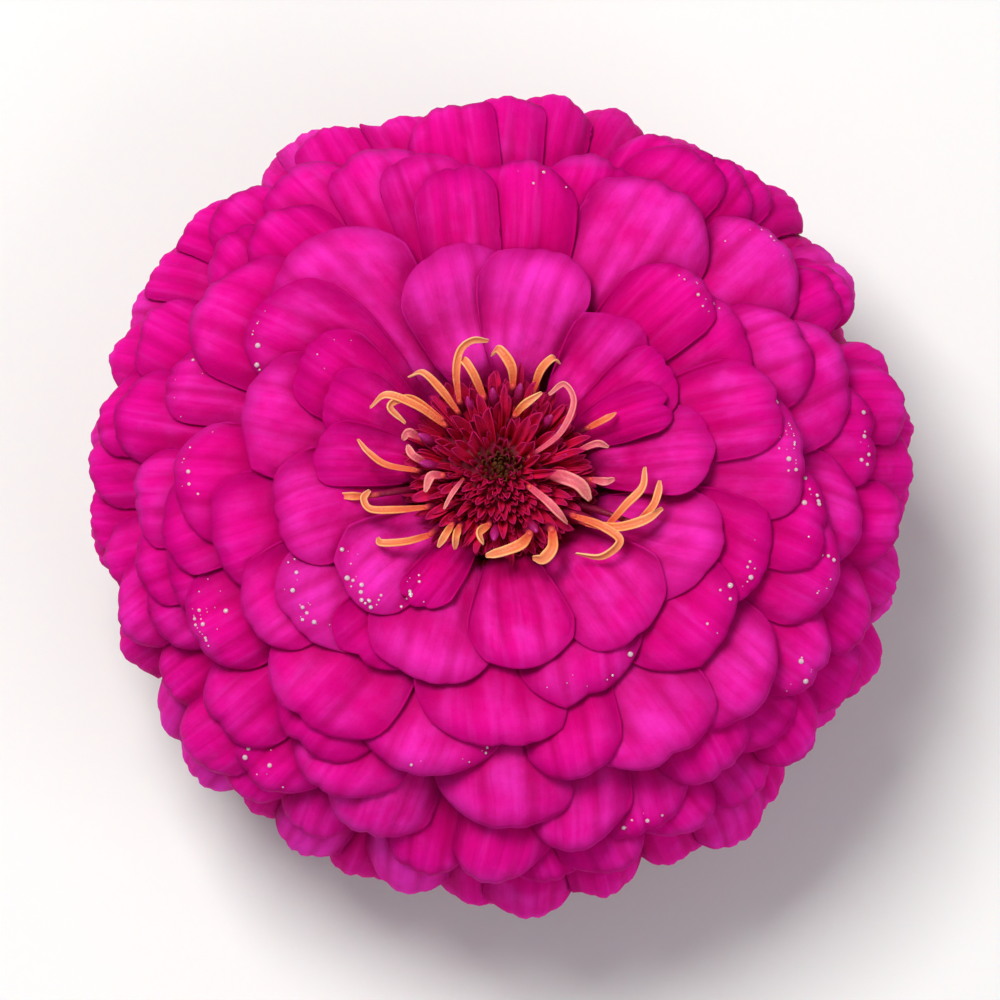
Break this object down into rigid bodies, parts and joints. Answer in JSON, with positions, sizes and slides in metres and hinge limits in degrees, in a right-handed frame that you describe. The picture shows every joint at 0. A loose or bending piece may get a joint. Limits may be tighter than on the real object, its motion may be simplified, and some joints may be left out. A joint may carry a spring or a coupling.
{
  "type": "zinnia flower",
  "caption": "Double zinnia bloom: overlapping rounded ray petals in a deep dome round a dark disc with curled disc florets, on a green bract cup and a short cut stalk.",
  "frame": {"origin": "centre of the stalk's cut end, which is the middle of the bloom's base on the surface it rests on", "axes": "+Z up along the stalk, out of the face of the bloom; seen from above with +Y up, +X is to the right"},
  "size_m": [0.0883, 0.0881, 0.0493],
  "materials": {
    "ray_petal": "velvety magenta petal, darker at edges and folds, with fine lengthwise veins",
    "disc_floret": "soft orange-yellow, slightly waxy",
    "chaff_scale": "dark maroon, dull, with papery crimson edges",
    "bract": "leaf green, dull, with dark brown papery rims",
    "stalk": "light green, ribbed, with short stiff hairs"
  },
  "bodies": {
    "root": {"ray_petals": "ray_petal", "disc_florets": "disc_floret", "disc_chaff": "chaff_scale", "involucre": "bract", "stalk": "stalk"}
  },
  "joints": []
}
